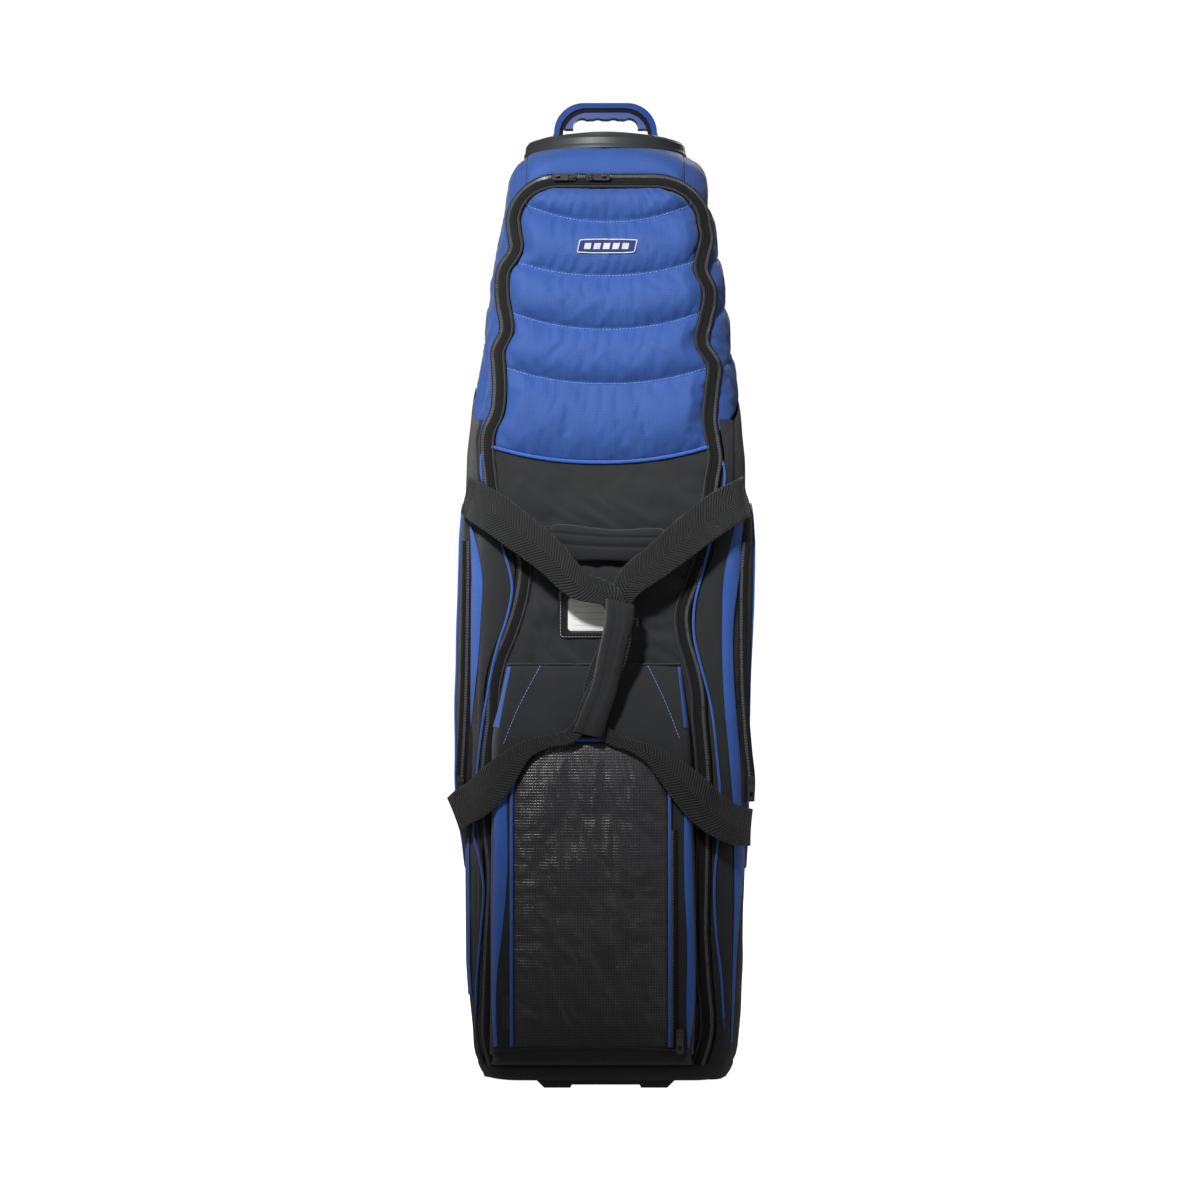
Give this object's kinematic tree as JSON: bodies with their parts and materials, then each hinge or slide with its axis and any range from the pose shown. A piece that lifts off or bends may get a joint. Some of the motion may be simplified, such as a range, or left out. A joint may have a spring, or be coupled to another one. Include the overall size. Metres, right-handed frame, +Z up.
{
  "type": "golf travel case",
  "caption": "Upright wheeled golf travel case, padded cloth with a hard swivel-handle top, zipped front lid, pockets and carry straps.",
  "frame": {"origin": "on the floor, under the middle of the whole object's box: in X on the plane of symmetry of the case's walls, in Y 20 mm in front of the swivel handle's axis", "axes": "+Z up along the case, -Y out of the front lid, +X to the right of someone facing the front"},
  "size_m": [0.418, 0.396, 1.3],
  "materials": {
    "blue_cloth": "diamond dobby weave, semi-matt",
    "black_cloth": "plain woven polyester with a dull back coating",
    "black_ripstop": "light ripstop with a slight sheen",
    "webbing": "ribbed woven webbing",
    "padding": "brushed tricot over foam",
    "lining_foam": "laminated foam, grey tricot face",
    "zip_tape": "woven tape with a nylon coil",
    "black_plastic": "fine moulded texture",
    "gloss_black": "polished",
    "blue_plastic": "polished",
    "grip_rubber": "satin, finger ridges",
    "wheel_pu": "satin polyurethane",
    "steel": "zinc plated",
    "pull_metal": "black enamel",
    "card": null,
    "clear_vinyl": "clear soft vinyl"
  },
  "bodies": {
    "case": {"neck_panel": "blue_cloth", "upper_side_left": "blue_cloth", "upper_side_right": "blue_cloth", "lower_side_left": "black_cloth", "lower_side_right": "black_cloth", "back_panel": "black_cloth", "front_borders": "black_cloth", "main_zip_case_half": "zip_tape", "side_pockets": "black_cloth", "side_zips": "zip_tape", "top_cap": "black_plastic", "cap_clamp_ring": "black_plastic", "cap_screws": "steel", "wheel_axles": "steel", "axle_nuts": "steel", "wheel_housings": "black_plastic", "base_tray": "black_plastic", "base_board": "black_plastic", "front_stand": "black_plastic", "base_rivets": "steel", "back_pad": "lining_foam", "cinch_strap": "webbing", "buckle_socket": "black_plastic"},
    "lid": {"lid_quilt": "blue_cloth", "lid_lower_panel": "black_cloth", "main_zip_lid_half": "zip_tape", "front_pocket_pouch": "black_cloth", "front_pocket_door": "black_ripstop", "front_pocket_zip": "zip_tape", "id_frame": "gloss_black", "id_card": "card", "id_window": "clear_vinyl", "grab_handle_webbing": "webbing"},
    "grab_handle": {"grab_handle_sleeve": "padding"},
    "swivel_handle": {"handle_turntable": "black_plastic", "handle_cover": "blue_plastic", "handle_frame": "gloss_black", "handle_grip": "grip_rubber", "swivel_spindle": "steel", "swivel_fasteners": "steel"},
    "wheel_left": {"wheel_tyre_left": "wheel_pu", "wheel_hub_left": "black_plastic", "wheel_bearings_left": "steel"},
    "wheel_right": {"wheel_tyre_right": "wheel_pu", "wheel_hub_right": "black_plastic", "wheel_bearings_right": "steel"},
    "strap_left": {"carry_strap_left": "webbing", "carry_wrap": "padding"},
    "strap_right": {"carry_strap_right": "webbing"},
    "buckle_male": {"buckle_tongue": "black_plastic"},
    "main_slider_left_body": {"main_slider_left": "pull_metal"},
    "main_slider_right_body": {"main_slider_right": "pull_metal"},
    "side_slider_left_body": {"side_slider_left": "pull_metal"},
    "side_slider_right_body": {"side_slider_right": "pull_metal"},
    "front_pocket_slider_body": {"front_pocket_slider": "pull_metal"},
    "main_pull_left_body": {"main_pull_left": "pull_metal"},
    "main_pull_right_body": {"main_pull_right": "pull_metal"},
    "side_pull_left_body": {"side_pull_left": "pull_metal"},
    "side_pull_right_body": {"side_pull_right": "pull_metal"},
    "front_pocket_pull_body": {"front_pocket_pull": "pull_metal"}
  },
  "joints": [
    {"name": "lid_open", "type": "hinge", "parent": "case", "child": "lid", "pos_m": [0, -0.132, 0.028], "axis": [1, 0, 0], "range_deg": [0, 60]},
    {"name": "strap_left_swing", "type": "hinge", "parent": "case", "child": "strap_left", "pos_m": [-0.197, -0.1245, 0.352], "axis": [0.0321, 0.0297, 0.999], "range_deg": [-236, 0], "deforming": ["carry_strap_left", "carry_wrap"]},
    {"name": "strap_right_swing", "type": "hinge", "parent": "case", "child": "strap_right", "pos_m": [0.197, -0.1245, 0.352], "axis": [-0.0321, 0.0297, 0.999], "range_deg": [0, 236], "deforming": ["carry_strap_right"]},
    {"name": "grab_handle_lift", "type": "slide", "parent": "lid", "child": "grab_handle", "axis": [0, -1, 0], "range_m": [0, 0.02], "deforming": ["grab_handle_webbing"]},
    {"name": "handle_swivel", "type": "hinge", "parent": "case", "child": "swivel_handle", "pos_m": [0, 0.02, 1.241], "axis": [0, 0, 1], "continuous": true},
    {"name": "wheel_left_spin", "type": "hinge", "parent": "case", "child": "wheel_left", "pos_m": [-0.13, 0.16, 0.038], "axis": [1, 0, 0], "continuous": true},
    {"name": "wheel_right_spin", "type": "hinge", "parent": "case", "child": "wheel_right", "pos_m": [0.13, 0.16, 0.038], "axis": [1, 0, 0], "continuous": true},
    {"name": "buckle_release", "type": "slide", "parent": "case", "child": "buckle_male", "axis": [-1, 0, 0], "range_m": [0, 0.035]},
    {"name": "main_slider_left_slide", "type": "slide", "parent": "case", "child": "main_slider_left_body", "axis": [-1, 0, 0], "range_m": [0, 0.014]},
    {"name": "main_slider_right_slide", "type": "slide", "parent": "case", "child": "main_slider_right_body", "axis": [1, 0, 0], "range_m": [0, 0.076]},
    {"name": "front_pocket_slider_slide", "type": "slide", "parent": "lid", "child": "front_pocket_slider_body", "axis": [0, 0, 1], "range_m": [0, 0.27]},
    {"name": "side_slider_left_slide", "type": "slide", "parent": "case", "child": "side_slider_left_body", "axis": [0, 0, 1], "range_m": [0, 0.28]},
    {"name": "side_slider_right_slide", "type": "slide", "parent": "case", "child": "side_slider_right_body", "axis": [0, 0, 1], "range_m": [0, 0.28]},
    {"name": "main_pull_left_lift", "type": "hinge", "parent": "main_slider_left_body", "child": "main_pull_left_body", "pos_m": [-0.044, -0.1135, 1.185], "axis": [0, 0, 1], "range_deg": [0, 100]},
    {"name": "main_pull_right_lift", "type": "hinge", "parent": "main_slider_right_body", "child": "main_pull_right_body", "pos_m": [-0.02, -0.1135, 1.185], "axis": [0, 0, -1], "range_deg": [0, 100]},
    {"name": "front_pocket_pull_lift", "type": "hinge", "parent": "front_pocket_slider_body", "child": "front_pocket_pull_body", "pos_m": [0.095, -0.1774, 0.078], "axis": [-1, 0, 0], "range_deg": [0, 120]},
    {"name": "side_pull_left_lift", "type": "hinge", "parent": "side_slider_left_body", "child": "side_pull_left_body", "pos_m": [-0.1886, -0.1285, 0.4], "axis": [-1, 0, 0], "range_deg": [0, 120]},
    {"name": "side_pull_right_lift", "type": "hinge", "parent": "side_slider_right_body", "child": "side_pull_right_body", "pos_m": [0.1886, -0.1285, 0.4], "axis": [-1, 0, 0], "range_deg": [0, 120]}
  ],
  "couplings": [
    {"joint": "strap_left_swing", "follows": "lid_open", "ratio": -3.925},
    {"joint": "strap_right_swing", "follows": "lid_open", "ratio": 3.925}
  ]
}
